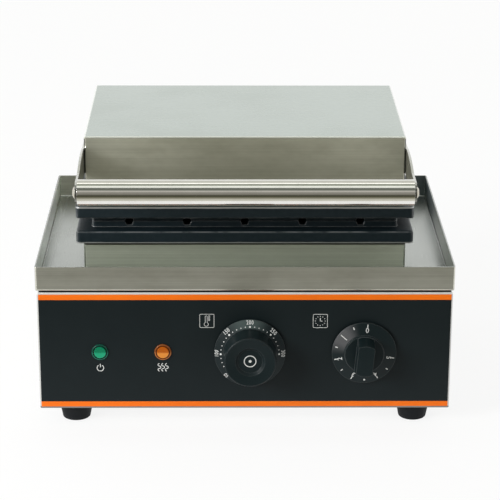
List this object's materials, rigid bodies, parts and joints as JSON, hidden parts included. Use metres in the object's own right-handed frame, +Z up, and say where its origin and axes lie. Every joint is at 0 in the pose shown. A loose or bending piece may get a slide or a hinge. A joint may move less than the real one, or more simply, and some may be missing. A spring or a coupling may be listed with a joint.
{
  "type": "corn dog maker",
  "caption": "Countertop corn dog maker: steel base with lights, thermostat and timer dials, drip tray, cast mould plates and a hinged lid with a tube handle.",
  "frame": {"origin": "on the standing surface, under the middle of the bounding box of the whole machine with its lid closed", "axes": "+X to the right seen from the front, +Y to the rear, +Z up"},
  "size_m": [0.38, 0.3564, 0.2666],
  "materials": {
    "steel_sheet": "fine horizontal brushing",
    "lid_sheet": "fine horizontal brushing",
    "polished_steel": "polished",
    "zinc_steel": "zinc plated",
    "cast_plate": "cast, dark non-stick coating",
    "black_film": "matt printed film",
    "orange_film": "matt printed film",
    "black_plastic": "moulded, fine texture",
    "green_lens": "clear coloured cap",
    "amber_lens": "clear coloured cap",
    "pale_plastic": "moulded",
    "copper": "drawn copper",
    "bronze": "turned",
    "heater_tube": "heat tinted",
    "wool": "mineral wool",
    "rubber": "matt"
  },
  "bodies": {
    "base": {"base_shell": "steel_sheet", "bottom_cover": "steel_sheet", "cover_screws": "zinc_steel", "rubber_feet": "rubber", "foot_screws": "zinc_steel", "front_fascia": "black_film", "fascia_stripes": "orange_film", "power_lens": "green_lens", "power_lamp": "pale_plastic", "heat_lens": "amber_lens", "heat_lamp": "pale_plastic", "lamp_nuts": "pale_plastic", "thermostat_body": "pale_plastic", "thermostat_bulb": "copper", "bulb_clip": "zinc_steel", "timer_body": "pale_plastic", "control_screws": "zinc_steel", "terminal_block": "pale_plastic", "cord_gland": "black_plastic", "gland_nut": "black_plastic", "drip_tray": "steel_sheet", "tray_spacers": "rubber", "casing_bolts": "zinc_steel", "deck_grommet": "rubber", "lower_casing": "steel_sheet", "lower_insulation": "wool", "lower_plate": "cast_plate", "lower_plate_screws": "zinc_steel", "lower_heater": "heater_tube", "lower_clamps": "zinc_steel", "lower_clamp_screws": "zinc_steel", "hinge_bracket_left": "zinc_steel", "hinge_bracket_right": "zinc_steel", "bracket_screws": "zinc_steel", "hinge_rod": "polished_steel", "hinge_clips": "zinc_steel"},
    "lid": {"lid_cover": "lid_sheet", "upper_plate": "cast_plate", "upper_heater": "heater_tube", "upper_clamps": "zinc_steel", "upper_clamp_screws": "zinc_steel", "upper_insulation": "wool", "lid_bracket_left": "zinc_steel", "lid_bracket_right": "zinc_steel", "lid_plate_screws": "zinc_steel", "handle_arm_left": "steel_sheet", "handle_arm_right": "steel_sheet", "arm_bolts": "polished_steel", "handle_tube": "polished_steel", "handle_plugs": "black_plastic", "handle_screws": "polished_steel", "lid_hinge_left": "zinc_steel", "lid_hinge_right": "zinc_steel", "lid_hinge_screws": "zinc_steel", "hinge_bushes": "bronze"},
    "thermostat_dial": {"thermostat_knob": "black_plastic", "thermostat_spindle": "zinc_steel"},
    "timer_dial": {"timer_knob": "black_plastic", "timer_spindle": "zinc_steel"}
  },
  "joints": [
    {"name": "lid_hinge", "type": "hinge", "parent": "base", "child": "lid", "pos_m": [0, 0.13025, 0.18525], "axis": [-1, 0, 0], "range_deg": [0, 100]},
    {"name": "thermostat_turn", "type": "hinge", "parent": "base", "child": "thermostat_dial", "pos_m": [0.0045, -0.11775, 0.073], "axis": [0, 1, 0], "range_deg": [-90, 158]},
    {"name": "timer_turn", "type": "hinge", "parent": "base", "child": "timer_dial", "pos_m": [0.109, -0.11775, 0.073], "axis": [0, 1, 0], "range_deg": [0, 260]}
  ]
}
